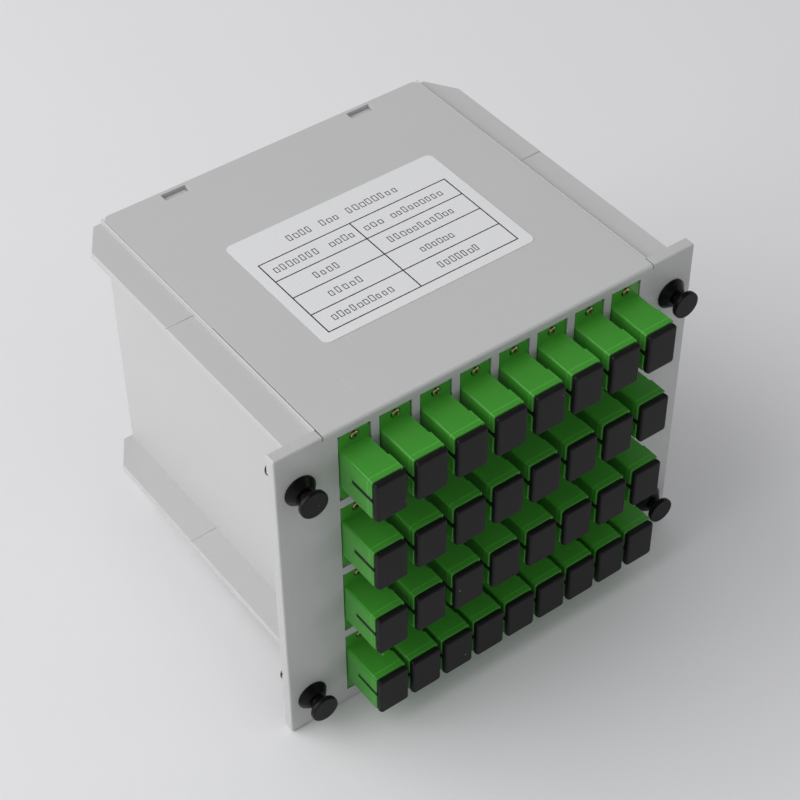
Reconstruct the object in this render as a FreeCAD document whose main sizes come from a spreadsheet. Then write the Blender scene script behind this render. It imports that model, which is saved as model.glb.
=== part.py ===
"""Plug-in cassette of a fibre splitter: a plastic case behind a wide front panel.

The panel carries four rows of adapters, each closed by a black dust cap, and a push-pull
latch at each corner. X runs along the panel, the front faces -Y and Z is up. The origin is
the middle of the panel's back face, which seats on the rack.
All sizes are in millimetres.
"""
import FreeCAD, Part
import math
import os
import re
import Sketcher
from FreeCAD import Vector

SIZES = (
    ("ear_width", 14.0),
    ("panel_height", 102.0),
    ("panel_thick", 3.2),
    ("panel_corner", 0.6),
    ("panel_edge_round", 0.5),
    ("panel_rib_thick", 1.4),
    ("panel_rib_depth", 4.0),
    ("side_nick_height", 0.8),
    ("side_nick_depth", 0.5),
    ("upper_nick_drop", 6.3),
    ("lower_nick_rise", 21.6),
    ("overall_depth", 100.4),
    ("body_width", 102.0),
    ("body_lift", 6.0),
    ("wall_thick", 1.8),
    ("rail_width", 8.6),
    ("rail_thick", 2.2),
    ("lower_rail_rise", 22.3),
    ("lead_in_width", 5.8),
    ("lead_in_length", 9.0),
    ("rail_mark_place", 51.8),
    ("rail_mark_width", 0.4),
    ("rail_mark_depth", 0.25),
    ("side_lip_thick", 0.5),
    ("cover_thick", 1.4),
    ("cover_rim_thick", 1.2),
    ("cover_rim_depth", 2.6),
    ("cover_edge_round", 0.8),
    ("cover_corner", 2.0),
    ("cover_seam", 0.12),
    ("cover_seam_end", 44.0),
    ("snap_spread", 60.0),
    ("snap_width", 7.5),
    ("snap_depth", 2.8),
    ("snap_inset", 1.1),
    ("label_width", 65.9),
    ("label_length", 45.3),
    ("label_corner", 1.8),
    ("label_thick", 0.12),
    ("label_middle", 45.0),
    ("label_offset", 0.6),
    ("column_pitch", 12.05),
    ("top_row_drop", 13.6),
    ("bottom_row_rise", 15.2),
    ("row_gap", 3.0),
    ("adapter_width", 9.2),
    ("adapter_height", 12.6),
    ("adapter_edge", 0.6),
    ("adapter_front", 12.9),
    ("adapter_rear", 11.0),
    ("port_width", 7.4),
    ("port_height", 9.2),
    ("port_depth", 11.6),
    ("key_height", 1.5),
    ("key_length", 8.2),
    ("relief_depth", 0.5),
    ("relief_length", 5.2),
    ("flange_thick", 1.5),
    ("flange_inset", 0.2),
    ("flange_gap", 0.2),
    ("cap_width", 9.0),
    ("cap_height", 12.4),
    ("cap_thick", 1.9),
    ("cap_plug_length", 7.0),
    ("latch_from_body", 7.2),
    ("upper_latch_drop", 13.2),
    ("lower_latch_rise", 11.0),
    ("shoulder_radius", 3.5),
    ("barrel_radius", 3.2),
    ("barrel_length", 7.0),
    ("barrel_slot", 0.9),
    ("bore_radius", 1.8),
    ("collar_radius", 4.4),
    ("collar_thick", 0.4),
    ("cone_top_radius", 2.7),
    ("cone_length", 2.0),
    ("head_radius", 3.9),
    ("head_thick", 1.4),
    ("neck_length", 2.5),
    ("neck_flare", 1.4),
    ("tip_past_barrel", 1.0),
    ("chip_length", 60.0),
    ("chip_width", 12.0),
    ("chip_thick", 4.0),
    ("chip_place", 62.0),
    ("cradle_thick", 1.6),
    ("cradle_length", 12.0),
    ("cradle_height", 3.0),
    ("fit_gap", 0.1),
    ("running_gap", 0.05),
    ("lid_gap", 0.3),
)

UPPER_ROWS = 3
UPPER_COLUMNS = 8
LOWER_COLUMNS = 9

HALF_BODY = "body_width / 2"
HALF_PANEL = "(body_width / 2 + ear_width)"
INNER_HALF = "(body_width / 2 - wall_thick)"
BACK = "(overall_depth - panel_thick)"
TOP = "panel_height / 2"
RAIL_TOP = "(panel_height / 2 - cover_thick)"
LOWER_RAIL_TOP = "(lower_rail_rise - panel_height / 2)"
UNDERSIDE = "(body_lift - panel_height / 2)"
FLOOR_TOP = "(body_lift - panel_height / 2 + wall_thick)"
RAIL_REACH = "(body_width / 2 + rail_width)"
LIP_REACH = "(body_width / 2 + side_lip_thick)"
FLANGE_FRONT = "(panel_thick - flange_inset)"
ADAPTER_TIP = "(panel_thick + adapter_front)"
ROW_PITCH = "((panel_height - top_row_drop - bottom_row_rise) / %d)" % UPPER_ROWS
FLANGE_HEIGHT = "(%s - row_gap)" % ROW_PITCH
LATCH_ACROSS = "(body_width / 2 + latch_from_body)"
UPPER_LATCH = "(panel_height / 2 - upper_latch_drop)"
LOWER_LATCH = "(lower_latch_rise - panel_height / 2)"
LOWER_PITCH = "(column_pitch * %d / %d)" % (UPPER_COLUMNS - 1, LOWER_COLUMNS - 1)

doc = FreeCAD.newDocument("Splitter")


def make_sheet():
    """Write every driving size into one sheet, a name and a number on each line."""
    sheet = doc.addObject("Spreadsheet::Sheet", "Sizes")
    for line, (name, value) in enumerate(SIZES, 1):
        sheet.set("A%d" % line, name)
        sheet.set("B%d" % line, repr(value))
        sheet.setAlias("B%d" % line, name)
    doc.recompute()
    return sheet


def rule(text):
    """Turn the size names in a formula into references to the sheet."""
    return re.sub(r"[a-z_]+", "Sizes.\\g<0>", text)


def origin_feature(body, role):
    for feature in body.Origin.OriginFeatures:
        if feature.Role == role:
            return feature
    raise ValueError("no origin feature " + role)


def new_body(label, place=("0", "0", "0")):
    body = doc.addObject("PartDesign::Body", label)
    body.Label = label
    for axis, text in zip("xyz", place):
        body.setExpression("Placement.Base." + axis, rule(text))
    return body


def new_sketch(body, name, role, height="0"):
    """An empty sketch parallel to one of the body's origin planes."""
    sketch = body.newObject("Sketcher::SketchObject", name)
    sketch.AttachmentSupport = (origin_feature(body, role), [""])
    sketch.MapMode = "FlatFace"
    sketch.setExpression("AttachmentOffset.Base.z", rule(height))
    return sketch


def bind(sketch, kind, first, text, value=1.0):
    """Add one driving dimension to a sketch and tie it to a formula."""
    index = sketch.addConstraint(Sketcher.Constraint(kind, *first, value))
    sketch.setExpression("Constraints[%d]" % index, rule(text))


def outline(sketch, corners):
    """Close a straight-sided outline whose corners are pairs of formulas."""
    count = len(corners)
    start = sketch.GeometryCount
    turns = [2 * math.pi * i / count for i in range(count)]
    ring = [Vector(math.cos(turn), math.sin(turn), 0) for turn in turns]
    for i in range(count):
        sketch.addGeometry(Part.LineSegment(ring[i], ring[(i + 1) % count]))
    for i in range(count):
        sketch.addConstraint(Sketcher.Constraint("Coincident", start + i, 2, start + (i + 1) % count, 1))
    for i, (across, along) in enumerate(corners):
        bind(sketch, "DistanceX", (-1, 1, start + i, 1), across)
        bind(sketch, "DistanceY", (-1, 1, start + i, 1), along)


def rectangle(sketch, left, right, bottom, top):
    outline(sketch, ((left, bottom), (right, bottom), (right, top), (left, top)))


def circle(sketch, across, along, radius):
    index = sketch.addGeometry(Part.Circle(Vector(0, 0, 0), Vector(0, 0, 1), 1.0))
    bind(sketch, "DistanceX", (-1, 1, index, 3), across)
    bind(sketch, "DistanceY", (-1, 1, index, 3), along)
    bind(sketch, "Radius", (index,), radius)


def extrude(body, sketch, length, reverse=False):
    feature = body.newObject("PartDesign::Pad", sketch.Name + "Pad")
    feature.Profile = sketch
    feature.setExpression("Length", rule(length))
    feature.Reversed = reverse
    return feature


def cut(body, sketch, depth, reverse=False):
    feature = body.newObject("PartDesign::Pocket", sketch.Name + "Cut")
    feature.Profile = sketch
    feature.setExpression("Length", rule(depth))
    feature.Reversed = reverse
    return feature


def cut_both_ways(body, sketch, depth):
    feature = cut(body, sketch, depth)
    feature.Midplane = True
    return feature


def in_line(body, features, role, length, count, name):
    """Repeat features along an axis of the body; length is first to last."""
    pattern = body.newObject("PartDesign::LinearPattern", name)
    pattern.Originals = features
    pattern.Direction = (origin_feature(body, role), [""])
    pattern.setExpression("Length", rule(length))
    pattern.Occurrences = count
    body.Tip = pattern
    return pattern


def edges_where(feature, test):
    """Names of a feature's straight edges whose two ends both pass the test."""
    names = []
    for number, edge in enumerate(feature.Shape.Edges, 1):
        ends = [vertex.Point for vertex in edge.Vertexes]
        if len(ends) == 2 and test(ends[0], ends[1]):
            names.append("Edge%d" % number)
    return names


def round_off(body, base, names, radius, name):
    feature = body.newObject("PartDesign::Fillet", name)
    feature.Base = (base, names)
    feature.setExpression("Radius", rule(radius))
    return feature


def mirrored(points):
    return [("-(%s)" % across, along) for across, along in reversed(points)]


def make_housing():
    """Open-topped case in one piece with two guide rails along each side."""
    body = new_body("housing")
    half = [
        (HALF_BODY, UNDERSIDE),
        (HALF_BODY, LOWER_RAIL_TOP + " - rail_thick"),
        (RAIL_REACH, LOWER_RAIL_TOP + " - rail_thick"),
        (RAIL_REACH, LOWER_RAIL_TOP),
        (HALF_BODY, LOWER_RAIL_TOP),
        (HALF_BODY, RAIL_TOP + " - rail_thick"),
        (RAIL_REACH, RAIL_TOP + " - rail_thick"),
        (RAIL_REACH, RAIL_TOP),
        (LIP_REACH, RAIL_TOP),
        (LIP_REACH, TOP),
        (HALF_BODY, TOP),
        (HALF_BODY, RAIL_TOP),
        (INNER_HALF, RAIL_TOP),
        (INNER_HALF, FLOOR_TOP),
    ]
    section = new_sketch(body, "CaseSection", "XZ_Plane")
    outline(section, half + mirrored(half))
    extrude(body, section, BACK, reverse=True)
    rear = new_sketch(body, "RearWall", "XZ_Plane", "wall_thick - " + BACK)
    rectangle(rear, "-" + INNER_HALF, INNER_HALF, FLOOR_TOP, RAIL_TOP)
    extrude(body, rear, "wall_thick", reverse=True)

    lead_in = new_sketch(body, "RailLeadIn", "XY_Plane")
    corner = [
        (RAIL_REACH, BACK + " - lead_in_length"),
        (RAIL_REACH + " + 1", BACK + " - lead_in_length"),
        (RAIL_REACH + " + 1", BACK + " + 1"),
        (RAIL_REACH + " - lead_in_width", BACK + " + 1"),
        (RAIL_REACH + " - lead_in_width", BACK),
    ]
    outline(lead_in, corner)
    outline(lead_in, mirrored(corner))
    cut_both_ways(body, lead_in, "panel_height * 2")

    for name, height in (("UpperRailMark", RAIL_TOP), ("LowerRailMark", LOWER_RAIL_TOP)):
        mark = new_sketch(body, name, "XY_Plane", height)
        ends = ("rail_mark_place", "rail_mark_place + rail_mark_width")
        rectangle(mark, LIP_REACH, RAIL_REACH + " + 1", *ends)
        rectangle(mark, "-%s - 1" % RAIL_REACH, "-" + LIP_REACH, *ends)
        cut(body, mark, "rail_mark_depth")

    catches = new_sketch(body, "CoverCatches", "XY_Plane", RAIL_TOP + " - 3 * snap_depth")
    for side in ("-", ""):
        middle = "%ssnap_spread / 2" % side
        rectangle(catches, middle + " - snap_width / 2 + fit_gap", middle + " + snap_width / 2 - fit_gap",
                  BACK + " - snap_inset - snap_depth + fit_gap", BACK + " - snap_inset - fit_gap")
    extrude(body, catches, "3 * snap_depth + 2 * fit_gap")

    cradle = new_sketch(body, "ChipCradle", "XY_Plane", FLOOR_TOP)
    near = "chip_place - chip_width / 2 - fit_gap"
    far = "chip_place + chip_width / 2 + fit_gap"
    for left, right in (("-chip_length / 2", "cradle_length - chip_length / 2"),
                        ("chip_length / 2 - cradle_length", "chip_length / 2")):
        rectangle(cradle, left, right, near + " - cradle_thick", near)
        rectangle(cradle, left, right, far, far + " + cradle_thick")
    extrude(body, cradle, "cradle_height")
    return body


def row_places():
    """Row number, how many adapters it holds, their pitch and the row's height."""
    rows = []
    for row in range(UPPER_ROWS + 1):
        lowest = row == UPPER_ROWS
        count = LOWER_COLUMNS if lowest else UPPER_COLUMNS
        pitch = LOWER_PITCH if lowest else "column_pitch"
        height = "panel_height / 2 - top_row_drop - %s * %d" % (ROW_PITCH, row)
        rows.append((row + 1, count, pitch, height))
    return rows


def column_place(column, count, pitch):
    return "%s * %g" % (pitch, column - (count - 1) / 2)


def latch_places():
    return [(side + LATCH_ACROSS, level) for level in (UPPER_LATCH, LOWER_LATCH) for side in ("-", "")]


def cut_window(body, name, across, up, height, gap, depth):
    """One adapter's clearance, cut into the panel from its face."""
    window = new_sketch(body, name, "XZ_Plane", "panel_thick")
    half_width, half_height = "adapter_width / 2 + " + gap, height + " / 2 + " + gap
    rectangle(window, "%s - (%s)" % (across, half_width), "%s + %s" % (across, half_width),
              "%s - (%s)" % (up, half_height), "%s + %s" % (up, half_height))
    return cut(body, window, depth)


def make_front_panel():
    """Wide panel with stepped windows for the adapters and a hole for each latch."""
    body = new_body("front_panel")
    plate = new_sketch(body, "Plate", "XZ_Plane")
    rectangle(plate, "-" + HALF_PANEL, HALF_PANEL, "-panel_height / 2", TOP)
    slab = extrude(body, plate, "panel_thick")
    doc.recompute()
    corners = edges_where(slab, lambda a, b: abs(a.y - b.y) > 1)
    rounded = round_off(body, slab, corners, "panel_corner", "PanelCorners")
    doc.recompute()
    front = min(vertex.Y for vertex in rounded.Shape.Vertexes)
    rim = edges_where(rounded, lambda a, b: a.y < front + 0.01 and b.y < front + 0.01)
    round_off(body, rounded, rim, "panel_edge_round", "PanelEdge")

    lip = new_sketch(body, "CoverLipSeat", "XZ_Plane")
    rectangle(lip, "-%s - lid_gap" % HALF_BODY, HALF_BODY + " + lid_gap", RAIL_TOP, TOP + " + 1")
    cut_both_ways(body, lip, "panel_thick * 4")

    for row, count, pitch, height in row_places():
        first = column_place(0, count, pitch)
        recess = cut_window(body, "FlangeSeat%d" % row, first, height,
                            FLANGE_HEIGHT, "flange_gap", "flange_inset + flange_thick")
        through = cut_window(body, "AdapterWay%d" % row, first, height,
                             "adapter_height", "fit_gap", "panel_thick * 2")
        span = "%s * %d" % (pitch, count - 1)
        in_line(body, [recess, through], "X_Axis", span, count, "WindowRow%d" % row)

    holes = new_sketch(body, "LatchHoles", "XZ_Plane")
    for across, up in latch_places():
        circle(holes, across, up, "shoulder_radius + running_gap")
    cut_both_ways(body, holes, "panel_thick * 4")

    nicks = new_sketch(body, "SideNicks", "XZ_Plane")
    for level in (TOP + " - upper_nick_drop", "lower_nick_rise - " + TOP):
        low, high = level + " - side_nick_height / 2", level + " + side_nick_height / 2"
        rectangle(nicks, HALF_PANEL + " - side_nick_depth", HALF_PANEL + " + 1", low, high)
        rectangle(nicks, "-%s - 1" % HALF_PANEL, "side_nick_depth - " + HALF_PANEL, low, high)
    cut(body, nicks, "side_nick_depth", reverse=True)

    ribs = new_sketch(body, "LocatingRibs", "XZ_Plane")
    low, high = FLOOR_TOP + " + wall_thick", RAIL_TOP + " - 2 * cover_rim_depth"
    outer, inner = INNER_HALF + " - fit_gap", INNER_HALF + " - fit_gap - panel_rib_thick"
    rectangle(ribs, inner, outer, low, high)
    rectangle(ribs, "-(%s)" % outer, "-(%s)" % inner, low, high)
    extrude(body, ribs, "panel_rib_depth", reverse=True)
    return body


def make_cover():
    """Flat lid between the lips of the side walls, its front edge flush with the panel's face."""
    body = new_body("cover")
    plate = new_sketch(body, "Lid", "XY_Plane", RAIL_TOP)
    half = [
        (HALF_BODY + " - cover_seam", "-panel_thick"),
        (HALF_BODY + " - cover_seam", "cover_seam_end"),
        (HALF_BODY, "cover_seam_end"),
        (HALF_BODY, BACK),
    ]
    outline(plate, half + mirrored(half))
    slab = extrude(body, plate, "cover_thick")
    doc.recompute()
    top = max(vertex.Z for vertex in slab.Shape.Vertexes)
    rear = max(vertex.Y for vertex in slab.Shape.Vertexes)
    front = min(vertex.Y for vertex in slab.Shape.Vertexes)
    corners = edges_where(slab, lambda a, b: abs(a.z - b.z) > 1 and a.y > rear - 0.01)
    rounded = round_off(body, slab, corners, "cover_corner", "CoverCorners")
    doc.recompute()
    lip = edges_where(rounded, lambda a, b: min(a.z, b.z) > top - 0.01 and max(a.y, b.y) < front + 0.01)
    round_off(body, rounded, lip, "cover_edge_round", "CoverLipEdge")

    windows = new_sketch(body, "CatchWindows", "XY_Plane", RAIL_TOP)
    for side in ("-", ""):
        middle = "%ssnap_spread / 2" % side
        rectangle(windows, middle + " - snap_width / 2", middle + " + snap_width / 2",
                  BACK + " - snap_inset - snap_depth", BACK + " - snap_inset")
    cut_both_ways(body, windows, "cover_thick * 4")

    rims = new_sketch(body, "LidRims", "XY_Plane", RAIL_TOP)
    outer, inner = INNER_HALF + " - fit_gap", INNER_HALF + " - fit_gap - cover_rim_thick"
    near, far = "panel_rib_depth", BACK + " - 2 * wall_thick"
    rectangle(rims, inner, outer, near, far)
    rectangle(rims, "-(%s)" % outer, "-(%s)" % inner, near, far)
    extrude(body, rims, "cover_rim_depth", reverse=True)
    return body


def make_label():
    body = new_body("label")
    paper = new_sketch(body, "LabelPaper", "XY_Plane", TOP)
    rectangle(paper, "label_offset - label_width / 2", "label_offset + label_width / 2",
              "label_middle - label_length / 2", "label_middle + label_length / 2")
    sheet = extrude(body, paper, "label_thick")
    doc.recompute()
    corners = edges_where(sheet, lambda a, b: abs(a.z - b.z) > 0.01)
    round_off(body, sheet, corners, "label_corner", "LabelCorners")
    return body


def cut_cornered(sketch, width, height, corner):
    """Rectangle about the sketch's origin with its four corners cut off at 45 degrees."""
    across, up = width + " / 2", height + " / 2"
    right = [
        (across + " - " + corner, "-" + up),
        (across, "%s - %s" % (corner, up)),
        (across, up + " - " + corner),
        (across + " - " + corner, up),
    ]
    outline(sketch, right + mirrored(right))


def make_adapter_row(row, count, pitch, height):
    """Moulded adapters: an eared flange with a square tube through it, open at both ends."""
    body = new_body("adapters_row_%d" % row, (column_place(0, count, pitch), "0", height))
    ears = new_sketch(body, "Ears%d" % row, "XZ_Plane", FLANGE_FRONT + " - flange_thick")
    rectangle(ears, "-adapter_width / 2", "adapter_width / 2",
              "-%s / 2" % FLANGE_HEIGHT, FLANGE_HEIGHT + " / 2")
    flange = extrude(body, ears, "flange_thick")
    middle = FLANGE_FRONT + " - flange_thick / 2"
    tube = new_sketch(body, "Tube%d" % row, "XZ_Plane", ADAPTER_TIP)
    cut_cornered(tube, "adapter_width", "adapter_height", "adapter_edge")
    shell = extrude(body, tube, "adapter_front + flange_inset + flange_thick / 2", reverse=True)
    rear = new_sketch(body, "RearTube%d" % row, "XZ_Plane", middle)
    rectangle(rear, "-adapter_width / 2", "adapter_width / 2", "-adapter_height / 2", "adapter_height / 2")
    rear_shell = extrude(body, rear, middle + " + adapter_rear", reverse=True)
    steps = [flange, shell, rear_shell]
    for name, place, reverse in (("FrontPort", ADAPTER_TIP, False), ("RearPort", "-adapter_rear", True)):
        port = new_sketch(body, "%s%d" % (name, row), "XZ_Plane", place)
        rectangle(port, "-port_width / 2", "port_width / 2", "-port_height / 2", "port_height / 2")
        steps.append(cut(body, port, "port_depth", reverse))
    key = new_sketch(body, "Keyway%d" % row, "XZ_Plane", ADAPTER_TIP)
    rectangle(key, "-adapter_width / 2 - fit_gap", "fit_gap - port_width / 2",
              "-key_height / 2", "key_height / 2")
    steps.append(cut(body, key, "key_length"))
    relief = new_sketch(body, "Relief%d" % row, "XZ_Plane", FLANGE_FRONT + " + relief_length")
    rectangle(relief, "adapter_width / 2 - relief_depth", "adapter_width / 2 + fit_gap",
              "-adapter_height / 2 - fit_gap", "adapter_height / 2 + fit_gap")
    steps.append(cut(body, relief, "relief_length"))
    in_line(body, steps, "X_Axis", "%s * %d" % (pitch, count - 1), count, "AdapterRow%d" % row)
    return body


def make_dust_cap(row, column, count, pitch, height):
    """Black cap: a face plate with a plug that fills the port."""
    name = "dust_cap_%d_%d" % (row, column + 1)
    body = new_body(name, (column_place(column, count, pitch), "0", height))
    face = new_sketch(body, "Face_" + name, "XZ_Plane", ADAPTER_TIP)
    cut_cornered(face, "cap_width", "cap_height", "adapter_edge")
    extrude(body, face, "cap_thick")
    stem = new_sketch(body, "Stem_" + name, "XZ_Plane", ADAPTER_TIP)
    across, up = "port_width / 2 - fit_gap", "port_height / 2 - fit_gap"
    rectangle(stem, "-(%s)" % across, across, "-(%s)" % up, up)
    extrude(body, stem, "cap_plug_length", reverse=True)
    return body


def make_latch_collars():
    """Four fixed nylon sleeves: a cone in front, a shoulder in the panel, a split barrel behind."""
    body = new_body("latch_collars")
    bore = "bore_radius + running_gap"
    tip = "-panel_thick - collar_thick - cone_length"
    step = "-panel_thick - collar_thick"
    for number, (across, up) in enumerate(latch_places(), 1):
        section = new_sketch(body, "CollarSection%d" % number, "XY_Plane", up)
        section.setExpression("AttachmentOffset.Base.x", rule(across))
        outline(section, [
            (bore, tip),
            ("cone_top_radius", tip),
            ("collar_radius", step),
            ("collar_radius", "-panel_thick"),
            ("shoulder_radius", "-panel_thick"),
            ("shoulder_radius", "0"),
            ("barrel_radius", "0"),
            ("barrel_radius", "barrel_length"),
            (bore, "barrel_length"),
        ])
        ring = body.newObject("PartDesign::Revolution", "Collar%d" % number)
        ring.Profile = section
        ring.ReferenceAxis = (section, ["V_Axis"])
        ring.Angle = 360
        slots = new_sketch(body, "BarrelSlots%d" % number, "XZ_Plane", "-barrel_length")
        arm, half = "barrel_radius + 1", "barrel_slot / 2"
        rectangle(slots, "%s - %s" % (across, half), "%s + %s" % (across, half),
                  "%s - (%s)" % (up, arm), "%s + %s" % (up, arm))
        cut(body, slots, "barrel_length", reverse=True)
    return body


def make_plunger(number, across, up):
    """Push-pull knob on a pin that slides in the collar's bore."""
    body = new_body("latch_plunger_%d" % number, (across, "0", up))
    section = new_sketch(body, "PlungerSection%d" % number, "XY_Plane")
    back = "-panel_thick - collar_thick - cone_length - neck_length"
    face = back + " - head_thick"
    outline(section, [
        ("0", "barrel_length + tip_past_barrel"),
        ("bore_radius", "barrel_length + tip_past_barrel"),
        ("bore_radius", back + " + neck_flare"),
        ("head_radius", back),
        ("head_radius", face),
        ("0", face),
    ])
    knob = body.newObject("PartDesign::Revolution", "Plunger%d" % number)
    knob.Profile = section
    knob.ReferenceAxis = (section, ["V_Axis"])
    knob.Angle = 360
    return body


def make_chip_case():
    """Slim metal case of the splitter chip, lying in its cradle on the floor."""
    body = new_body("chip_case")
    base = new_sketch(body, "ChipBase", "XY_Plane", FLOOR_TOP)
    rectangle(base, "-chip_length / 2", "chip_length / 2",
              "chip_place - chip_width / 2", "chip_place + chip_width / 2")
    extrude(body, base, "chip_thick")
    return body


def check(parts):
    """Stop before writing if any object failed or any solid is broken."""
    for item in doc.Objects:
        if "Invalid" in item.State or "Error" in item.State:
            raise RuntimeError("failed: " + item.Name)
    for part in parts:
        if part.Shape.isNull() or not part.Shape.isValid():
            raise RuntimeError("broken solid: " + part.Label)


def main():
    make_sheet()
    parts = [make_housing(), make_front_panel(), make_cover(), make_label()]
    for row, count, pitch, height in row_places():
        parts.append(make_adapter_row(row, count, pitch, height))
        for column in range(count):
            parts.append(make_dust_cap(row, column, count, pitch, height))
    parts.append(make_latch_collars())
    for number, (across, up) in enumerate(latch_places(), 1):
        parts.append(make_plunger(number, across, up))
    parts.append(make_chip_case())
    doc.recompute()
    check(parts)
    os.makedirs("parts", exist_ok=True)
    for part in parts:
        part.Shape.exportStep("parts/%s.step" % part.Label)


main()
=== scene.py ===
import math
import random

import bmesh
import bpy
from mathutils import Matrix, Vector


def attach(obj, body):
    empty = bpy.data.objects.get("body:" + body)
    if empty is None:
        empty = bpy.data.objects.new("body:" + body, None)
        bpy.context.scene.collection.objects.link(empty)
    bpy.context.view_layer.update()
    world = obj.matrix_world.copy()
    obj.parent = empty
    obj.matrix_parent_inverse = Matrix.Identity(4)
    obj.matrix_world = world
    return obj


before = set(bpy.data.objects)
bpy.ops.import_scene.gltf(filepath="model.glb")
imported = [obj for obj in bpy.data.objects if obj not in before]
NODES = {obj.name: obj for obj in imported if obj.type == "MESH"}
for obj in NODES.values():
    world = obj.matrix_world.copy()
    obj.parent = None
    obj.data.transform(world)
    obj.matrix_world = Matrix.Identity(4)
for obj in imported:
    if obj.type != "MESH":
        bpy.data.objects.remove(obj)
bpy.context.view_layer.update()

MM = 0.001

# The cassette's own measures in millimetres, as its solids have them.
ROWS = ((37.4, 8, 12.05), (13.0, 8, 12.05), (-11.4, 8, 12.05), (-35.8, 9, 10.54375))
FIRST_COLUMN = -42.175
FLANGE_FACE = -3.0
FLANGE_HALF_HEIGHT = 10.7
SEAT_FLOOR = -1.5
EAR_ROUND = 1.3
TUBE_HALF_WIDTH = 4.6
TUBE_HALF_HEIGHT = 6.3
TUBE_BEVEL = 0.6
CORNER_BACK = -10.8
KEY_HALF_HEIGHT = 0.72
KEY_END = -8.0
ADAPTER_TIP = -16.1
SCREW_RISE = 9.1
LABEL_TOP = 51.12
CASE_BACK = 97.2
CASE_FOOT = -45.0
PANEL_FOOT = -51.0

# Small measures of the pieces made here, in millimetres.
MOULD_LINE = ADAPTER_TIP + 1.6
MOULD_LINE_CORE = 0.05
MOULD_LINE_REACH = 0.18
CORNER_SUNK = 0.2
CORNER_LAP = 0.05
KEY_SUNK = 0.2
KEY_DEPTH = 1.0
BROKEN_EDGE = 0.1
RULE_RISE = 0.012
PRINT_RISE = 0.01
FLOOR_GAP = 0.02

# A screw from its foot to its crown, each ring as a radius and a rise above the flange, and its cross
# recess at the mouth and at the floor, each as a reach, a half width and a rise.
SCREW_RINGS = ((1.42, 0.0), (1.42, 0.03), (1.22, 0.05), (1.2, 0.26), (1.08, 0.40), (0.86, 0.46))
SCREW_SIDES = 20
RECESS_MOUTH = (0.70, 0.16, 0.46)
RECESS_FLOOR = (0.5, 0.12, 0.14)
# Between these two places the screw's colour goes dark towards the flange: painted shade over its foot and
# the floor of its recess.
SCREW_PAINTED_SHADE_FROM = FLANGE_FACE - 0.36
SCREW_PAINTED_SHADE_TO = FLANGE_FACE - 0.2

# Most of a noise's values lie between these two.
NOISE_LOW, NOISE_HIGH = 0.3, 0.7

# The skin of a moulding: how high its pebbles and its fine grain stand, and its slow waves per metre.
PEBBLE_RISE = 0.5
GRAIN_RISE = 0.6
WAVES_PER_METRE = 90.0

# Drifting colour: the shares of its slow clouds and of its mottling, and the mottles per metre.
CLOUD_SHARE, MOTTLE_SHARE = 0.7, 0.3
MOTTLES_PER_METRE = 700.0

# Dust: the slants between which it thickens (the Z of a surface's normal), how much lies below the first,
# and the solid middle of a speck as a share of its size.
DUST_THIN_SLANT, DUST_THICK_SLANT = -0.2, 0.8
DUST_LEAST = 0.35
DUST_CORE = 0.5

# Scratches: their two directions, each as a turn in radians and its patches per metre, how far they are
# drawn out along X, Y and Z, how wide they are as a share of their spacing, and where the patches' noise
# lets them through.
SCRATCH_RUNS = ((0.45, 44.0), (2.1, 77.0))
SCRATCH_DRAW = (1.0, 0.05, 0.3)
SCRATCH_WIDTH = 0.006
SCRATCH_NONE, SCRATCH_ALL = 0.60, 0.68

# Rubbed edges, paler as wear and as a painted highlight: how alike the rounded and the flat normal are
# where an edge is full and where it ends, and the noise that makes them uneven, with the least that is left
# of them.
EDGE_FULL, EDGE_ENDS = 0.80, 0.995
RUBS_PER_METRE = 260.0
RUB_LOW, RUB_HIGH = 0.35, 0.65
RUB_LEAST = 0.35

# How much paler a plastic is where it is rubbed (wear and a painted highlight on its edges), scratched or
# lined (a painted highlight along the tip line) (a share and a lift), how much of that shows, and what each
# does to the roughness and to the relief.
EDGE_WEAR_AND_HIGHLIGHT_PALE = (1.5, 0.03)
RUBBED_POLISH = 0.12
SCRATCHED_PALE = (1.35, 0.02)
SCRATCHED_SHOWS = 0.35
SCRATCHED_DEPTH = 0.8
TIP_LINE_HIGHLIGHT_PALE = (1.7, 0.03)
TIP_LINE_HIGHLIGHT_SHOWS = 0.55
LINED_DEPTH = 3.0
DUST_COLOUR = (0.55, 0.54, 0.52, 1.0)
DUST_SHOWS = 0.7
DUST_DULLS = 0.4
GLOSS_BELOW, GLOSS_ABOVE = 0.01, 0.02


def put(tree, kind, sockets=None, **settings):
    """Adds a node. A socket takes a plain value, or another node's output to join to it."""
    node = tree.nodes.new(kind)
    for name, value in settings.items():
        setattr(node, name, value)
    for name, value in (sockets or {}).items():
        if isinstance(value, bpy.types.NodeSocket):
            tree.links.new(value, node.inputs[name])
        else:
            node.inputs[name].default_value = value
    return node


def math_of(tree, operation, first, second=0.0):
    return put(tree, "ShaderNodeMath", {0: first, 1: second}, operation=operation).outputs[0]


def sum_of(tree, first, second):
    return math_of(tree, "ADD", first, second)


def product_of(tree, first, second):
    return math_of(tree, "MULTIPLY", first, second)


def gap_of(tree, first, second):
    """How far apart two values are, whichever is the larger."""
    return math_of(tree, "ABSOLUTE", math_of(tree, "SUBTRACT", first, second))


def along(tree, vector, axis):
    """One number of a vector: 0 is X, 1 is Y and 2 is Z."""
    return put(tree, "ShaderNodeSeparateXYZ", {0: vector}).outputs[axis]


def step_up(tree, value, low, high, bottom=0.0, top=1.0):
    """Runs smoothly from bottom to top as value goes from low to high."""
    sockets = {"Value": value, "From Min": low, "From Max": high, "To Min": bottom, "To Max": top}
    return put(tree, "ShaderNodeMapRange", sockets, interpolation_type="SMOOTHSTEP").outputs["Result"]


def blend_colour(tree, share, first, second):
    return put(tree, "ShaderNodeMix", {"Factor": share, 6: first, 7: second}, data_type="RGBA").outputs[2]


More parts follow.
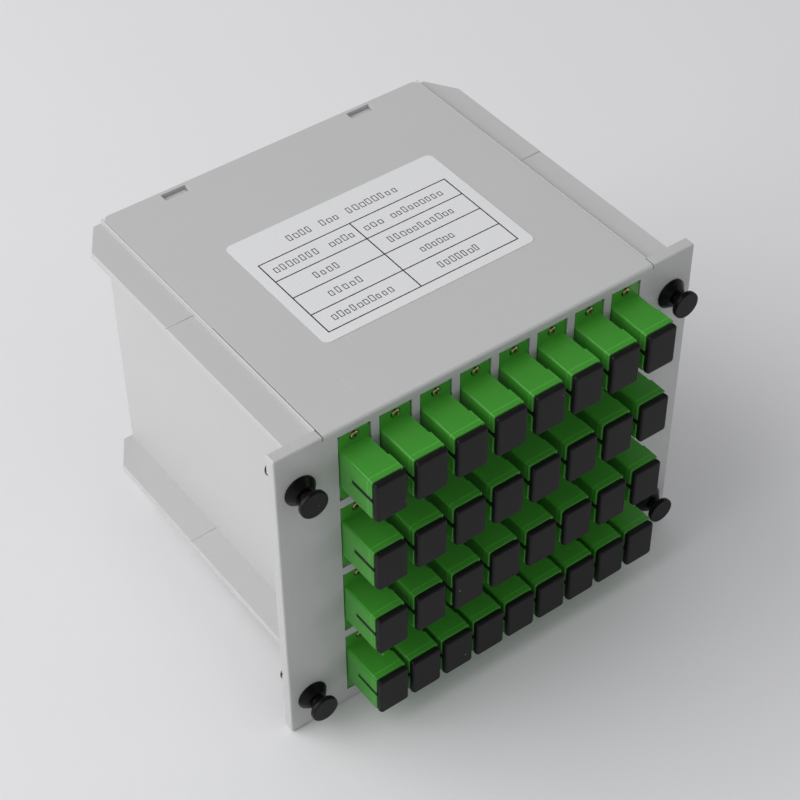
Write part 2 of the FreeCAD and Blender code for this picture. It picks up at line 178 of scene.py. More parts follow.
def lighter(colour, share, lift):
    """A plastic's colour made paler: where it is rubbed or scratched, and for the painted highlights on its
    edges and along the tip line.
    """
    return (*[min(1.0, part * share + lift) for part in colour], 1.0)


def spread(tree, noise, bottom, top):
    """Turns a noise into values that run from bottom to top."""
    return step_up(tree, noise, NOISE_LOW, NOISE_HIGH, bottom, top)


def noise_of(tree, place, scale, detail, rough):
    sockets = {"Vector": place, "Scale": scale, "Detail": detail, "Roughness": rough}
    return put(tree, "ShaderNodeTexNoise", sockets).outputs["Fac"]


def place_of(tree):
    """Where a point is on the part, in metres."""
    return put(tree, "ShaderNodeTexCoord").outputs["Object"]


def stretched(tree, place, scale, turn=(0.0, 0.0, 0.0)):
    sockets = {"Vector": place, "Scale": scale, "Rotation": turn}
    return put(tree, "ShaderNodeMapping", sockets).outputs["Vector"]


def effect(name, inputs, outputs):
    """Starts a shader node group and returns its tree, its inputs and the node that takes its outputs."""
    tree = bpy.data.node_groups.new(name, "ShaderNodeTree")
    kinds = {"number": "NodeSocketFloat", "colour": "NodeSocketColor"}
    for label, kind, value in inputs:
        socket = tree.interface.new_socket(label, in_out="INPUT", socket_type=kinds[kind])
        socket.default_value = value
    for label, kind in outputs:
        tree.interface.new_socket(label, in_out="OUTPUT", socket_type=kinds[kind])
    given = tree.nodes.new("NodeGroupInput").outputs
    result = tree.nodes.new("NodeGroupOutput").inputs
    return tree, given, result


def moulded_grain():
    """The fine pebbled skin that a mould leaves on plastic."""
    tree, given, result = effect(
        "moulded_grain",
        [("Cells per metre", "number", 2500.0), ("Waviness", "number", 0.3)],
        [("Height", "number"), ("Shade", "number")],
    )
    place = place_of(tree)
    pebbles = put(tree, "ShaderNodeTexVoronoi", {"Vector": place, "Scale": given["Cells per metre"]},
                  feature="SMOOTH_F1").outputs["Distance"]
    fine = noise_of(tree, place, given["Cells per metre"], detail=3.0, rough=0.6)
    slow = noise_of(tree, place, WAVES_PER_METRE, detail=1.0, rough=0.4)
    skin = sum_of(tree, product_of(tree, pebbles, PEBBLE_RISE), product_of(tree, fine, GRAIN_RISE))
    height = sum_of(tree, skin, product_of(tree, slow, given["Waviness"]))
    tree.links.new(height, result["Height"])
    tree.links.new(fine, result["Shade"])
    return tree


def colour_drift():
    """Slow, slight changes of a plastic's colour across a moulding."""
    tree, given, result = effect(
        "colour_drift",
        [("Colour", "colour", (0.5, 0.5, 0.5, 1.0)), ("Amount", "number", 0.06),
         ("Patches per metre", "number", 25.0)],
        [("Colour", "colour")],
    )
    place = place_of(tree)
    cloud = noise_of(tree, place, given["Patches per metre"], detail=3.0, rough=0.55)
    mottle = noise_of(tree, place, MOTTLES_PER_METRE, detail=2.0, rough=0.6)
    mixed = sum_of(tree, product_of(tree, cloud, CLOUD_SHARE), product_of(tree, mottle, MOTTLE_SHARE))
    swing = product_of(tree, math_of(tree, "SUBTRACT", mixed, 0.5), given["Amount"])
    light = sum_of(tree, product_of(tree, swing, 2.0), 1.0)
    shifted = put(tree, "ShaderNodeVectorMath", {0: given["Colour"], "Scale": light}, operation="SCALE")
    tree.links.new(shifted.outputs["Vector"], result["Colour"])
    return tree


def dust_specks():
    """Scattered specks of dust and lint, more of them where a surface faces up."""
    tree, given, result = effect(
        "dust_specks",
        [("Specks per metre", "number", 420.0), ("Share", "number", 0.05), ("Size", "number", 0.16)],
        [("Mask", "number")],
    )
    cells = put(tree, "ShaderNodeTexVoronoi",
                {"Vector": place_of(tree), "Scale": given["Specks per metre"]}).outputs
    chosen = put(tree, "ShaderNodeSeparateColor", {"Color": cells["Color"]}).outputs[0]
    kept = math_of(tree, "LESS_THAN", chosen, given["Share"])
    core = product_of(tree, given["Size"], DUST_CORE)
    spot = step_up(tree, cells["Distance"], core, given["Size"], 1.0, 0.0)
    facing = along(tree, put(tree, "ShaderNodeNewGeometry").outputs["Normal"], 2)
    up = step_up(tree, facing, DUST_THIN_SLANT, DUST_THICK_SLANT, DUST_LEAST, 1.0)
    tree.links.new(product_of(tree, product_of(tree, kept, spot), up), result["Mask"])
    return tree


def hair_scratches():
    """Thin, faint lines from handling, in two directions, broken up so that none runs far."""
    tree, given, result = effect(
        "hair_scratches",
        [("Lines per metre", "number", 160.0), ("Share", "number", 0.5)],
        [("Mask", "number")],
    )
    place = place_of(tree)
    total = None
    for turn, patches_per_metre in SCRATCH_RUNS:
        run = stretched(tree, place, SCRATCH_DRAW, (0.0, 0.0, turn))
        field = noise_of(tree, run, given["Lines per metre"], detail=1.0, rough=0.3)
        line = step_up(tree, gap_of(tree, field, 0.5), 0.0, SCRATCH_WIDTH, 1.0, 0.0)
        patches = noise_of(tree, place, patches_per_metre, detail=2.0, rough=0.5)
        broken = product_of(tree, line, step_up(tree, patches, SCRATCH_NONE, SCRATCH_ALL))
        total = broken if total is None else math_of(tree, "MAXIMUM", total, broken)
    tree.links.new(product_of(tree, total, given["Share"]), result["Mask"])
    return tree


def worn_and_highlit_edges():
    """Marks the outer edges of a moulding, where handling polishes it; the plastics paint these edges
    paler, as wear and as a painted highlight where they catch the light.
    """
    tree, given, result = effect(
        "worn_and_highlit_edges",
        [("Width", "number", 0.0005), ("Strength", "number", 0.5)],
        [("Mask", "number")],
    )
    rounded = put(tree, "ShaderNodeBevel", {"Radius": given["Width"]}, samples=4).outputs["Normal"]
    flat = put(tree, "ShaderNodeNewGeometry").outputs["Normal"]
    alike = put(tree, "ShaderNodeVectorMath", {0: rounded, 1: flat},
                operation="DOT_PRODUCT").outputs["Value"]
    edge = step_up(tree, alike, EDGE_FULL, EDGE_ENDS, 1.0, 0.0)
    wear = noise_of(tree, place_of(tree), RUBS_PER_METRE, detail=3.0, rough=0.6)
    uneven = step_up(tree, wear, RUB_LOW, RUB_HIGH, RUB_LEAST, 1.0)
    mask = product_of(tree, product_of(tree, edge, uneven), given["Strength"])
    tree.links.new(mask, result["Mask"])
    return tree


EFFECTS = {}


def use(tree, name, sockets=None):
    """Places one of the shared effects in a material."""
    return put(tree, "ShaderNodeGroup", sockets, node_tree=EFFECTS[name]).outputs


def new_material(name):
    material = bpy.data.materials.new(name)
    material.use_nodes = True
    tree = material.node_tree
    shader = next(node for node in tree.nodes if node.type == "BSDF_PRINCIPLED")
    return material, tree, shader


def join_up(tree, shader, tone, gloss, height, depth):
    """Joins a material's colour, roughness and relief to its shader. The relief's depth is in metres."""
    relief = put(tree, "ShaderNodeBump", {"Height": height, "Distance": depth}).outputs["Normal"]
    for output, label in ((tone, "Base Color"), (gloss, "Roughness"), (relief, "Normal")):
        tree.links.new(output, shader.inputs[label])


def plastic(name, colour, rough, grain, drift, dust, edges, scratches=0.0, specular=0.5, line=None):
    """Moulded plastic. grain is (cells per metre, depth in metres, waviness); dust and edges are shares."""
    cells, depth, waviness = grain
    material, tree, shader = new_material(name)
    skin = use(tree, "moulded_grain", {"Cells per metre": cells, "Waviness": waviness})
    tone = use(tree, "colour_drift", {"Colour": (*colour, 1.0), "Amount": drift})["Colour"]
    edge_wear_and_highlight = use(tree, "worn_and_highlit_edges", {"Strength": edges})["Mask"]
    # Painted highlight on top of wear: the edge mask paints the colour paler where the edges catch the
    # light.
    tone = blend_colour(tree, edge_wear_and_highlight, tone, lighter(colour, *EDGE_WEAR_AND_HIGHLIGHT_PALE))
    specks = use(tree, "dust_specks", {"Share": dust})["Mask"]
    tone = blend_colour(tree, product_of(tree, specks, DUST_SHOWS), tone, DUST_COLOUR)
    gloss = spread(tree, skin["Shade"], rough - GLOSS_BELOW, rough + GLOSS_ABOVE)
    gloss = math_of(tree, "SUBTRACT", gloss, product_of(tree, edge_wear_and_highlight, RUBBED_POLISH))
    gloss = sum_of(tree, gloss, product_of(tree, specks, DUST_DULLS))
    height = skin["Height"]
    if scratches:
        lines = use(tree, "hair_scratches", {"Share": scratches})["Mask"]
        pale = product_of(tree, lines, SCRATCHED_SHOWS)
        tone = blend_colour(tree, pale, tone, lighter(colour, *SCRATCHED_PALE))
        height = math_of(tree, "SUBTRACT", height, product_of(tree, lines, SCRATCHED_DEPTH))
    if line:
        step = line(tree)
        # Painted highlight: the tip line is painted paler, as where its step catches the light.
        tone = blend_colour(tree, product_of(tree, step, TIP_LINE_HIGHLIGHT_SHOWS), tone, lighter(colour, *TIP_LINE_HIGHLIGHT_PALE))
        height = math_of(tree, "SUBTRACT", height, product_of(tree, step, LINED_DEPTH))
    shader.inputs["Specular IOR Level"].default_value = specular
    join_up(tree, shader, tone, gloss, height, depth)
    return material


def tip_line(tree):
    """Marks the fine step that the mould leaves across each adapter, a little behind its front edge; the
    plastic cuts it in as relief and paints it paler, a painted highlight where the step catches the light.
    """
    away = gap_of(tree, along(tree, place_of(tree), 1), MOULD_LINE * MM)
    return step_up(tree, away, MOULD_LINE_CORE * MM, MOULD_LINE_REACH * MM, 1.0, 0.0)


def label_film():
    """Matt printed film with faint fibres in it."""
    material, tree, shader = new_material("label_film")
    drawn_out = stretched(tree, place_of(tree), (1.0, 0.25, 1.0), (0.0, 0.0, 0.7))
    fibres = noise_of(tree, drawn_out, 1800.0, detail=4.0, rough=0.6)
    tone = use(tree, "colour_drift", {"Colour": (0.73, 0.73, 0.735, 1.0), "Amount": 0.03,
                                      "Patches per metre": 40.0})["Colour"]
    specks = use(tree, "dust_specks", {"Specks per metre": 300.0, "Share": 0.03, "Size": 0.12})["Mask"]
    tone = blend_colour(tree, product_of(tree, specks, 0.4), tone, (0.45, 0.44, 0.43, 1.0))
    shader.inputs["Specular IOR Level"].default_value = 0.35
    join_up(tree, shader, tone, spread(tree, fibres, 0.50, 0.62), fibres, depth=0.00001)
    return material


def print_ink(name, dark, pale):
    """Thin print, a little uneven as from a worn ribbon."""
    material, tree, shader = new_material(name)
    wear = noise_of(tree, place_of(tree), 3000.0, detail=3.0, rough=0.6)
    worn = step_up(tree, wear, 0.35, 0.75)
    tone = blend_colour(tree, worn, (dark, dark, dark, 1.0), (pale, pale, pale, 1.0))
    join_up(tree, shader, tone, spread(tree, wear, 0.45, 0.6), wear, depth=0.000004)
    return material


def screw_brass():
    """Plated screw heads, bright on top, with painted shade that darkens the floor of the recess and the
    foot.
    """
    material, tree, shader = new_material("screw_brass")
    place = place_of(tree)
    tone = use(tree, "colour_drift", {"Colour": (0.56, 0.47, 0.26, 1.0), "Amount": 0.3,
                                      "Patches per metre": 900.0})["Colour"]
    # Painted shade: the foot and the floor of the cross recess turn near black, for the shade in the gap
    # round the head and in the recess.
    painted_shade = step_up(tree, along(tree, place, 1), SCREW_PAINTED_SHADE_FROM * MM, SCREW_PAINTED_SHADE_TO * MM)
    tone = blend_colour(tree, product_of(tree, painted_shade, 0.85), tone, (0.03, 0.035, 0.012, 1.0))
    turned = noise_of(tree, place, 9000.0, detail=2.0, rough=0.6)
    shader.inputs["Metallic"].default_value = 1.0
    join_up(tree, shader, tone, spread(tree, turned, 0.18, 0.34), turned, depth=0.000008)
    return material


def chip_steel():
    """Brushed steel of the splitter chip's case."""
    material, tree, shader = new_material("chip_steel")
    lines = noise_of(tree, stretched(tree, place_of(tree), (0.04, 1.0, 1.0)), 6000.0, detail=3.0, rough=0.6)
    tone = use(tree, "colour_drift", {"Colour": (0.56, 0.56, 0.57, 1.0), "Amount": 0.06})["Colour"]
    shader.inputs["Metallic"].default_value = 1.0
    join_up(tree, shader, tone, spread(tree, lines, 0.25, 0.42), lines, depth=0.000006)
    return material


def paper_floor():
    """Pale seamless paper under the cassette."""
    material, tree, shader = new_material("paper_floor")
    tone = use(tree, "colour_drift", {"Colour": (0.775, 0.772, 0.78, 1.0), "Amount": 0.02,
                                      "Patches per metre": 6.0})["Colour"]
    tooth = noise_of(tree, place_of(tree), 900.0, detail=3.0, rough=0.6)
    shader.inputs["Specular IOR Level"].default_value = 0.2
    join_up(tree, shader, tone, spread(tree, tooth, 0.6, 0.75), tooth, depth=0.00003)
    return material


def make_effects():
    for maker in (moulded_grain, colour_drift, dust_specks, hair_scratches, worn_and_highlit_edges):
        EFFECTS[maker.__name__] = maker()


def make_materials():
    case = (0.525, 0.524, 0.522)
    pebbled = (2600.0, 0.00003, 0.3)
    return {
        "case": plastic("case_plastic", case, rough=0.46, grain=pebbled, drift=0.03, dust=0.03, edges=0.25),
        "cover": plastic("cover_plastic", case, rough=0.44, grain=pebbled,
                         drift=0.03, dust=0.04, edges=0.25, scratches=0.6),
        "panel": plastic("panel_plastic", (0.500, 0.498, 0.498), rough=0.28, grain=(2200.0, 0.000006, 0.4),
                         drift=0.025, dust=0.03, edges=0.3, scratches=0.4, specular=0.35),
        "adapter": plastic("adapter_plastic", (0.053, 0.296, 0.029), rough=0.30,
                           grain=(3200.0, 0.00001, 0.3), drift=0.10, dust=0.03, edges=0.6,
                           specular=0.4, line=tip_line),
        "cap": plastic("cap_rubber", (0.0085, 0.008, 0.009), rough=0.48, grain=(3000.0, 0.00003, 0.3),
                       drift=0.15, dust=0.03, edges=0.2, specular=0.2),
        "latch": plastic("latch_nylon", (0.0042, 0.0042, 0.0046), rough=0.32, grain=(2800.0, 0.00002, 0.3),
                         drift=0.12, dust=0.03, edges=0.25, specular=0.16),
        "label": label_film(),
        "rule": print_ink("rule_ink", 0.006, 0.03),
        "ink": print_ink("print_ink", 0.025, 0.09),
        "brass": screw_brass(),
        "steel": chip_steel(),
        "floor": paper_floor(),
    }


def shape_nodes(name):
    """Starts geometry nodes and returns their tree and the mesh that they are given."""
    tree = bpy.data.node_groups.new(name, "GeometryNodeTree")
    for way in ("INPUT", "OUTPUT"):
        tree.interface.new_socket("Mesh", in_out=way, socket_type="NodeSocketGeometry")
    return tree, tree.nodes.new("NodeGroupInput").outputs[0]


def give_back(tree, mesh):
    """Ends geometry nodes with the mesh that they hand on."""
    tree.links.new(mesh, tree.nodes.new("NodeGroupOutput").inputs[0])
    return tree


def even_shading(angle):
    """Geometry nodes that drop the stored normals, then shade smoothly up to the given edge angle."""
    tree, given = shape_nodes("even_shading")
    bare = put(tree, "GeometryNodeRemoveAttribute", {"Geometry": given, "Name": "custom_normal"}).outputs[0]
    sockets = {0: bare, "Shade Smooth": True}
    faces = put(tree, "GeometryNodeSetShadeSmooth", sockets, domain="FACE").outputs[0]
    bend = put(tree, "GeometryNodeInputMeshEdgeAngle").outputs["Unsigned Angle"]
    sharp = put(tree, "FunctionNodeCompare", {0: bend, 1: angle},
                data_type="FLOAT", operation="GREATER_THAN").outputs[0]
    sockets = {0: faces, "Selection": sharp, "Shade Smooth": False}
    return give_back(tree, put(tree, "GeometryNodeSetShadeSmooth", sockets, domain="EDGE").outputs[0])


# Which edges are rounded: angles in degrees, and lengths in millimetres.
SQUARE_FROM = 50
BENT_FROM = 32
FLAT_UP_TO = 0.5
SAME_PLACE = 0.001
SHORTEST_ROUNDED = 0.3
SEAT_MARGIN = 0.02
EAR_EDGE = 1.4
EAR_MARGIN = 0.2
# How each solid is finished: its look, the radius of its edges, and whether only outer edges are rounded.
FINISHES = (
    ("housing", "case", 0.22, True), ("cover", "cover", 0.3, False), ("front_panel", "panel", 0.12, True),
    ("label", "label", 0.0, False), ("adapters_row", "adapter", 0.3, True), ("dust_cap", "cap", 0.6, True),
    ("latch_collars", "latch", 0.2, False), ("latch_plunger", "latch", 0.3, False),
    ("chip_case", "steel", 0.3, False),
)


def edge_weights(name, choose):
    """Geometry nodes that give the edges picked by choose a full weight for rounding, and the rest none."""
    tree, given = shape_nodes(name)
    ends = put(tree, "GeometryNodeInputMeshEdgeVertices").outputs
    run = put(tree, "ShaderNodeVectorMath", {0: ends["Position 1"], 1: ends["Position 2"]},
              operation="SUBTRACT").outputs[0]
    picked = choose(tree, ends["Position 1"], run)
    sockets = {"Geometry": given, "Name": "bevel_weight_edge", "Value": picked}
    stored = put(tree, "GeometryNodeStoreNamedAttribute", sockets, data_type="FLOAT", domain="EDGE")
    return give_back(tree, stored.outputs[0])


def corners_of_ears(height):
    """Picks the short edges at the four corners of each ear of the row at this height."""
    def choose(tree, start, run):
        reach = math_of(tree, "ABSOLUTE", along(tree, run, 1))
        through = math_of(tree, "GREATER_THAN", reach, EAR_EDGE * MM)
        rise = gap_of(tree, along(tree, start, 2), height * MM)
        far = math_of(tree, "GREATER_THAN", rise, (FLANGE_HALF_HEIGHT - EAR_MARGIN) * MM)
        return product_of(tree, far, through)
    return choose


def outer_edges(tree, start, run):
    """Picks the square outer edges, but none of the panel's seats, which the ears hide."""
    bend = put(tree, "GeometryNodeInputMeshEdgeAngle").outputs["Signed Angle"]
    square = math_of(tree, "GREATER_THAN", bend, math.radians(SQUARE_FROM))
    length = put(tree, "ShaderNodeVectorMath", {0: run}, operation="LENGTH").outputs["Value"]
    long = math_of(tree, "GREATER_THAN", length, SHORTEST_ROUNDED * MM)
    from_seat = gap_of(tree, along(tree, start, 1), SEAT_FLOOR * MM)
    clear = math_of(tree, "GREATER_THAN", from_seat, SEAT_MARGIN * MM)
    return product_of(tree, product_of(tree, square, long), clear)


def round_edges(node, width, weights=None, segments=2):
    """Rounds edges by a real small radius, either those with a weight or every square one."""
    if weights:
        node.modifiers.new("edge_weights", "NODES").node_group = weights
    edge = node.modifiers.new("edge_round", "BEVEL")
    edge.width = width * MM
    edge.segments = segments
    edge.limit_method = "WEIGHT" if weights else "ANGLE"
    edge.angle_limit = math.radians(BENT_FROM)
    edge.use_clamp_overlap = not weights


def finish_nodes(looks):
    """Gives every solid its finish and its softened edges."""
    shading = even_shading(math.radians(SQUARE_FROM))
    outer = edge_weights("outer_edges", outer_edges)
    for name, node in NODES.items():
        look, width, outer_only = next(finish[1:] for finish in FINISHES if name.startswith(finish[0]))
        for slot in node.material_slots:
            slot.material = looks[look]
        if not width:
            continue
        node.modifiers.new("weld", "WELD").merge_threshold = SAME_PLACE * MM
        flat = node.modifiers.new("flat_faces", "DECIMATE")
        flat.decimate_type = "DISSOLVE"
        flat.angle_limit = math.radians(FLAT_UP_TO)
        if look == "adapter":
            height = ROWS[int(name[-1]) - 1][0]
            ears = edge_weights("ears_of_" + name, corners_of_ears(height))
            round_edges(node, EAR_ROUND, ears, segments=3)
        round_edges(node, width, outer if outer_only else None)
        node.modifiers.new("shading", "NODES").node_group = shading
        node.modifiers.new("face_normals", "WEIGHTED_NORMAL").keep_sharp = True


def mesh_object(name, build, material):
    """Makes a piece from a mesh that build fills, and lets it ride on the cassette."""
    mesh = bpy.data.meshes.new(name)
    shape = bmesh.new()
    build(shape)
    bmesh.ops.recalc_face_normals(shape, faces=shape.faces)
    shape.to_mesh(mesh)
    shape.free()
    mesh.materials.append(material)
    piece = bpy.data.objects.new(name, mesh)
    bpy.context.scene.collection.objects.link(piece)
    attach(piece, "root")


def column_places(count, pitch):
    return [FIRST_COLUMN + pitch * column for column in range(count)]


def ring_of(shape, points):
    """Adds corners at places given in millimetres."""
    return [shape.verts.new(Vector(point) * MM) for point in points]


def wall_between(shape, low, high, smooth=False):
    """Joins two rings of corners by a band of faces."""
    for first in range(len(low)):
        second = (first + 1) % len(low)
        shape.faces.new((low[first], low[second], high[second], high[first])).smooth = smooth


def cross_outline(reach, half):
    """The twelve corners of a plus sign."""
    quarter = [(reach, -half), (reach, half), (half, half)]
    corners = []
    for turn in range(4):
        c, s = round(math.cos(turn * math.pi / 2)), round(math.sin(turn * math.pi / 2))
        corners += [(c * x - s * y, s * x + c * y) for x, y in quarter]
    return corners


def add_screw(shape, across, up, turn):
    """One pan head with a cross recess, standing on the flange's face."""
    def ring_at(rise, outline):
        return ring_of(shape, [(across + x, FLANGE_FACE - rise, up + z) for x, z in outline])

    def circle(radius):
        angles = [2 * math.pi * step / SCREW_SIDES for step in range(SCREW_SIDES)]
        return [(radius * math.cos(angle), radius * math.sin(angle)) for angle in angles]

    def cross(reach, half):
        c, s = math.cos(turn), math.sin(turn)
        return [(c * x - s * y, s * x + c * y) for x, y in cross_outline(reach, half)]

    rings = [ring_at(rise, circle(radius)) for radius, rise in SCREW_RINGS]
    for low, high in zip(rings, rings[1:]):
        wall_between(shape, low, high, smooth=True)
    mouth, floor = [ring_at(rise, cross(reach, half)) for reach, half, rise in (RECESS_MOUTH, RECESS_FLOOR)]
    wall_between(shape, mouth, floor)
    shape.faces.new(floor)
    rim = [shape.edges.get(ends) for ring in (rings[-1], mouth) for ends in zip(ring, ring[1:] + ring[:1])]
    bmesh.ops.triangle_fill(shape, use_beauty=True, edges=rim)


def make_screws(material):
    """Two screws hold each adapter's ears, one above and one below its body."""
    chance = random.Random(7)
    for row, (height, count, pitch) in enumerate(ROWS, 1):
        def build(shape):
            for across in column_places(count, pitch):
                for rise in (SCREW_RISE, -SCREW_RISE):
                    add_screw(shape, across, height + rise, chance.uniform(0, math.pi / 2))
        mesh_object("adapter_screws_row_%d" % row, build, material)


def add_bar(shape, corners, front, back):
    """A bar that runs along Y with the given outline, each corner as a pair across and up."""
    near = ring_of(shape, [(x, front, z) for x, z in corners])
    far = ring_of(shape, [(x, back, z) for x, z in corners])
    shape.faces.new(near)
    shape.faces.new(list(reversed(far)))
    wall_between(shape, near, far)


def make_adapter_corners(material):
    """Square corners on the right of each adapter's front half; its rear half keeps the bevel."""
    side, rim = TUBE_HALF_WIDTH, TUBE_HALF_HEIGHT
    corners = [(side - TUBE_BEVEL, rim), (side - TUBE_BEVEL + CORNER_LAP, rim - CORNER_SUNK),
               (side - CORNER_SUNK, rim - TUBE_BEVEL), (side, rim - TUBE_BEVEL),
               (side, rim - BROKEN_EDGE), (side - BROKEN_EDGE, rim)]
    for row, (height, count, pitch) in enumerate(ROWS, 1):
        def build(shape):
            for across in column_places(count, pitch):
                for level in (1, -1):
                    placed = [(across + x, height + level * z) for x, z in corners]
                    add_bar(shape, placed, ADAPTER_TIP + CORNER_LAP, CORNER_BACK)
        mesh_object("adapter_corners_row_%d" % row, build, material)


def make_cap_keys_as_slot_shade(material):
    """A black bar of the caps' rubber in each adapter's keyway, shaped as a key on the cap's plug and lying
    just below the slot's mouth; it is a dark piece that stands in for the shade inside the slot.
    """
    top, low = KEY_HALF_HEIGHT, KEY_HALF_HEIGHT - BROKEN_EDGE
    outer, inner = KEY_SUNK - TUBE_HALF_WIDTH, KEY_DEPTH - TUBE_HALF_WIDTH
    corners = [(outer, -low), (outer + BROKEN_EDGE, -top), (inner, -top),
               (inner, top), (outer + BROKEN_EDGE, top), (outer, low)]
    for row, (height, count, pitch) in enumerate(ROWS, 1):
        def build(shape):
            for across in column_places(count, pitch):
                placed = [(across + x, height + z) for x, z in corners]
                # These bars fill the keyways with black: painted shade for the slots.
                add_bar(shape, placed, ADAPTER_TIP, KEY_END)
        mesh_object("cap_key_slot_shade_row_%d" % row, build, material)


def add_plate(shape, x_low, x_high, y_low, y_high, rise):
    """A thin printed bar lying on the label."""
    corners = [(x_low, y_low), (x_high, y_low), (x_high, y_high), (x_low, y_high)]
    low = ring_of(shape, [(x, y, LABEL_TOP) for x, y in corners])
    high = ring_of(shape, [(x, y, LABEL_TOP + rise) for x, y in corners])
    shape.faces.new(high)
    wall_between(shape, low, high)


# The table on the label, in millimetres: its upright rules, its level rules and their width.
TABLE_LEFT, TABLE_RIGHT, TABLE_DIVIDER = -29.2, 30.0, -0.9
TABLE_RULES = (56.5, 48.75, 41.1, 33.2, 25.5)
RULE_WIDTH = 0.34


def make_label_rules(material):
    """The ruled table on the label."""
    def build(shape):
        half = RULE_WIDTH / 2
        for y in TABLE_RULES:
            add_plate(shape, TABLE_LEFT - half, TABLE_RIGHT + half, y - half, y + half, RULE_RISE)
        for x in (TABLE_LEFT, TABLE_DIVIDER, TABLE_RIGHT):
            for y_high, y_low in zip(TABLE_RULES, TABLE_RULES[1:]):
                add_plate(shape, x - half, x + half, y_low + half, y_high - half, RULE_RISE)
    mesh_object("label_rules", build, material)


# The marks on the label: their stroke, how far apart they stand, how far their feet lie from the middle of
# their row, their widths as shares of the spacing, and their heights.
PRINT_STROKE = 0.24
MARK_PITCH = 1.95
MARK_FOOT = -1.2
MARK_WIDTHS = (0.55, 0.75)
MARK_HEIGHTS = (1.7, 2.0, 2.4)
# Each row of marks: its middle, then from and to across the label, in millimetres.
PRINT_RUNS = (
    (61.0, ((-17.3, -9.5), (-7.0, -1.0), (1.5, 18.0))),
    (52.6, ((-27.0, -13.0), (-10.0, -1.9), (1.0, 7.5), (9.5, 26.5))),
    (45.0, ((-20.0, -12.0), (3.3, 24.5))),
    (37.1, ((-21.0, -10.3), (7.5, 18.3))),
    (29.3, ((-25.5, -6.5), (7.5, 20.5))),
)


def add_box_mark(shape, left, right, bottom, top):
    """A small empty box, drawn in thin strokes."""
    edge = PRINT_STROKE
    for x_low, x_high, y_low, y_high in (
        (left, right, bottom, bottom + edge), (left, right, top - edge, top),
        (left, left + edge, bottom + edge, top - edge), (right - edge, right, bottom + edge, top - edge),
    ):
        add_plate(shape, x_low, x_high, y_low, y_high, PRINT_RISE)


def make_label_print(material):
    """Rows of small empty boxes, as plain marks in the label's fields."""
    chance = random.Random(11)

    def build(shape):
        for middle, runs in PRINT_RUNS:
            for start, end in runs:
                count = max(2, round((end - start) / MARK_PITCH))
                step = (end - start) / count
                foot = middle + MARK_FOOT
                for mark in range(count):
                    left = start + step * mark
                    width = step * chance.uniform(*MARK_WIDTHS)
                    add_box_mark(shape, left, left + width, foot, foot + chance.choice(MARK_HEIGHTS))
    mesh_object("label_print", build, material)


FLOOR_HALF_WIDTH = 4.0
# Each lamp's place and aim in metres, the side of its square in metres, and its power in watts.
LAMPS = (
    ("window_lamp", (-1.0, 0.5, 0.85), (0.0, 0.04, 0.0), 1.7, 20.0),
    ("fill_lamp", (1.0, -0.8, 0.4), (0.0, 0.0, 0.0), 0.6, 0.8),
)
# The even light of the room, and what the eye and gloss see: a sweep from low to high, and the ceiling,
# each with the heights between which it comes in, as a share of straight up.
ROOM_LIGHT = (0.62, 0.625, 0.64, 1.0)
ROOM_STRENGTH = 0.75
SWEEP_LOW, SWEEP_HIGH = (0.40, 0.40, 0.41, 1.0), (0.66, 0.66, 0.67, 1.0)
SWEEP_FROM, SWEEP_TO = -0.01, 0.12
CEILING = (0.05, 0.05, 0.055, 1.0)
CEILING_FROM, CEILING_TO = 0.15, 0.6
# The camera: its angles in degrees, its target and its offset from it in millimetres (right, up, back).
CAMERA_TURN, CAMERA_RISE, CAMERA_ROLL = -36.230, 44.203, -0.502
CAMERA_TARGET = (0, 46.8, -1.0)
CAMERA_OFFSET = (6.266, -3.315, 549.055)
CAMERA_LENS = 90.035
CAMERA_FILM = 36.0


def make_floor(material):
    """Wide pale floor, tilted so that the cassette rests on its panel's lower edge and its rear foot."""
    slope = math.atan2(CASE_FOOT - PANEL_FOOT, CASE_BACK)
    mesh = bpy.data.meshes.new("floor")
    shape = bmesh.new()
    bmesh.ops.create_grid(shape, x_segments=8, y_segments=8, size=FLOOR_HALF_WIDTH)
    shape.to_mesh(mesh)
    shape.free()
    mesh.materials.append(material)
    floor = bpy.data.objects.new("floor", mesh)
    foot = Vector((0, 0, PANEL_FOOT - FLOOR_GAP)) * MM
    floor.matrix_world = Matrix.Translation(foot) @ Matrix.Rotation(slope, 4, "X")
    bpy.context.scene.collection.objects.link(floor)


def add_lamp(name, place, aim, size, power):
    light = bpy.data.lights.new(name, "AREA")
    light.shape = "SQUARE"
    light.size = size
    light.energy = power
    holder = bpy.data.objects.new(name, light)
    holder.location = place
    holder.rotation_euler = (Vector(aim) - Vector(place)).to_track_quat("-Z", "Y").to_euler()
    bpy.context.scene.collection.objects.link(holder)


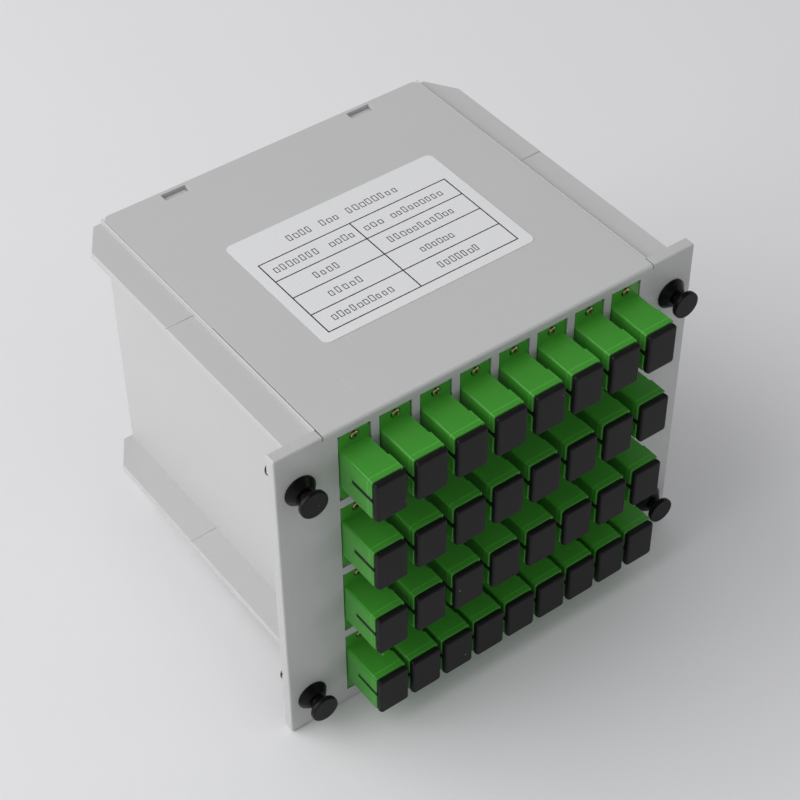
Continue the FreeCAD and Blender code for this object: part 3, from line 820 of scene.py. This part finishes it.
def make_light():
    """One broad soft lamp from the left and above, a weak one at the front right, and an even room light.

    What the eye and gloss see round the cassette is a pale sweep that goes dark overhead.
    """
    for lamp in LAMPS:
        add_lamp(*lamp)
    world = bpy.data.worlds.new("studio")
    bpy.context.scene.world = world
    world.use_nodes = True
    tree = world.node_tree
    tree.nodes.clear()
    rays = put(tree, "ShaderNodeLightPath").outputs
    mirrored = math_of(tree, "MAXIMUM", rays["Is Glossy Ray"], rays["Is Transmission Ray"])
    seen = math_of(tree, "MAXIMUM", rays["Is Camera Ray"], mirrored)
    height = along(tree, put(tree, "ShaderNodeTexCoord").outputs["Generated"], 2)
    sweep = blend_colour(tree, step_up(tree, height, SWEEP_FROM, SWEEP_TO), SWEEP_LOW, SWEEP_HIGH)
    wall = blend_colour(tree, step_up(tree, height, CEILING_FROM, CEILING_TO), sweep, CEILING)
    around = put(tree, "ShaderNodeBackground", {"Color": ROOM_LIGHT, "Strength": ROOM_STRENGTH}).outputs[0]
    backdrop = put(tree, "ShaderNodeBackground", {"Color": wall}).outputs[0]
    mixed = put(tree, "ShaderNodeMixShader", {0: seen, 1: around, 2: backdrop}).outputs[0]
    put(tree, "ShaderNodeOutputWorld", {"Surface": mixed})


def aim_camera():
    """A long lens from the left, the front and above, as the photograph was taken."""
    turn, rise, roll = [math.radians(angle) for angle in (CAMERA_TURN, CAMERA_RISE, CAMERA_ROLL)]
    back = Vector((math.sin(turn) * math.cos(rise), -math.cos(turn) * math.cos(rise), math.sin(rise)))
    level = (-back).cross(Vector((0, 0, 1))).normalized()
    upright = level.cross(-back)
    right = math.cos(roll) * level + math.sin(roll) * upright
    up = -math.sin(roll) * level + math.cos(roll) * upright
    turned = Matrix((right, up, back)).transposed()
    place = (Vector(CAMERA_TARGET) + turned @ Vector(CAMERA_OFFSET)) * MM
    camera = bpy.data.cameras.new("camera")
    camera.lens = CAMERA_LENS
    camera.sensor_width = CAMERA_FILM
    camera.clip_start = 0.01
    holder = bpy.data.objects.new("camera", camera)
    holder.matrix_world = Matrix.Translation(place) @ turned.to_4x4()
    bpy.context.scene.collection.objects.link(holder)
    bpy.context.scene.camera = holder


def main():
    make_effects()
    looks = make_materials()
    finish_nodes(looks)
    make_adapter_corners(looks["adapter"])
    make_cap_keys_as_slot_shade(looks["cap"])
    make_screws(looks["brass"])
    make_label_rules(looks["rule"])
    make_label_print(looks["ink"])
    make_floor(looks["floor"])
    make_light()
    aim_camera()
    bpy.context.scene.view_settings.view_transform = "Standard"


main()
